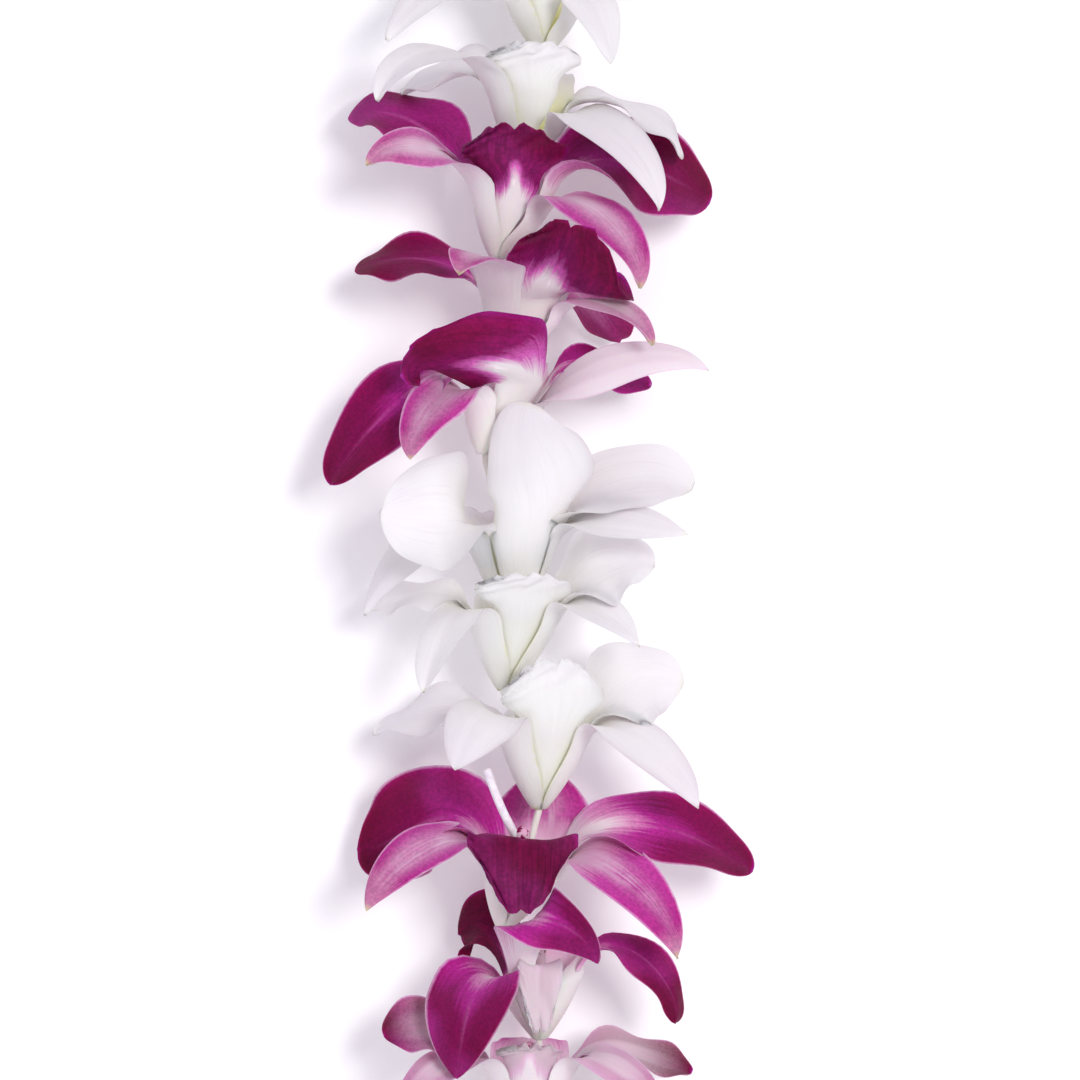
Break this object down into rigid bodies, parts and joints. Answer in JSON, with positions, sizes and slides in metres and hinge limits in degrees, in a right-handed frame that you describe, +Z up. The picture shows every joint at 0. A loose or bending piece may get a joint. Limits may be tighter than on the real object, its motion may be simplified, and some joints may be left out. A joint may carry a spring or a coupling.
{
  "type": "fresh orchid flower lei",
  "caption": "Closed loop of fresh orchid blooms threaded face to tail on a knotted string, white and purple in turn, laid flat.",
  "frame": {"origin": "on the table, under the middle of the lei's overall box", "axes": "+Z up from the table, +Y along the two long strands, +X from the strand that was pictured towards the other one"},
  "size_m": [0.2276, 0.4216, 0.0447],
  "materials": {
    "white_bloom": "soft, slightly translucent white orchid petal with cream and yellow-green in the throat",
    "purple_bloom": "velvety magenta orchid petal, white at its base, with a deep maroon lip",
    "string": "off-white twisted cotton thread"
  },
  "bodies": {
    "root": {"purple_bloom_03": "purple_bloom", "purple_bloom_04": "purple_bloom", "purple_bloom_05": "purple_bloom", "purple_bloom_09": "purple_bloom", "purple_bloom_10": "purple_bloom", "purple_bloom_11": "purple_bloom", "purple_bloom_15": "purple_bloom", "purple_bloom_16": "purple_bloom", "purple_bloom_17": "purple_bloom", "purple_bloom_21": "purple_bloom", "purple_bloom_22": "purple_bloom", "purple_bloom_23": "purple_bloom", "purple_bloom_27": "purple_bloom", "purple_bloom_28": "purple_bloom", "purple_bloom_29": "purple_bloom", "purple_bloom_33": "purple_bloom", "purple_bloom_34": "purple_bloom", "purple_bloom_35": "purple_bloom", "purple_bloom_39": "purple_bloom", "purple_bloom_40": "purple_bloom", "purple_bloom_41": "purple_bloom", "purple_bloom_45": "purple_bloom", "purple_bloom_46": "purple_bloom", "purple_bloom_47": "purple_bloom", "string": "string", "white_bloom_01": "white_bloom", "white_bloom_02": "white_bloom", "white_bloom_06": "white_bloom", "white_bloom_07": "white_bloom", "white_bloom_08": "white_bloom", "white_bloom_12": "white_bloom", "white_bloom_13": "white_bloom", "white_bloom_14": "white_bloom", "white_bloom_18": "white_bloom", "white_bloom_19": "white_bloom", "white_bloom_20": "white_bloom", "white_bloom_24": "white_bloom", "white_bloom_25": "white_bloom", "white_bloom_26": "white_bloom", "white_bloom_30": "white_bloom", "white_bloom_31": "white_bloom", "white_bloom_32": "white_bloom", "white_bloom_36": "white_bloom", "white_bloom_37": "white_bloom", "white_bloom_38": "white_bloom", "white_bloom_42": "white_bloom", "white_bloom_43": "white_bloom", "white_bloom_44": "white_bloom", "white_bloom_48": "white_bloom"}
  },
  "joints": []
}
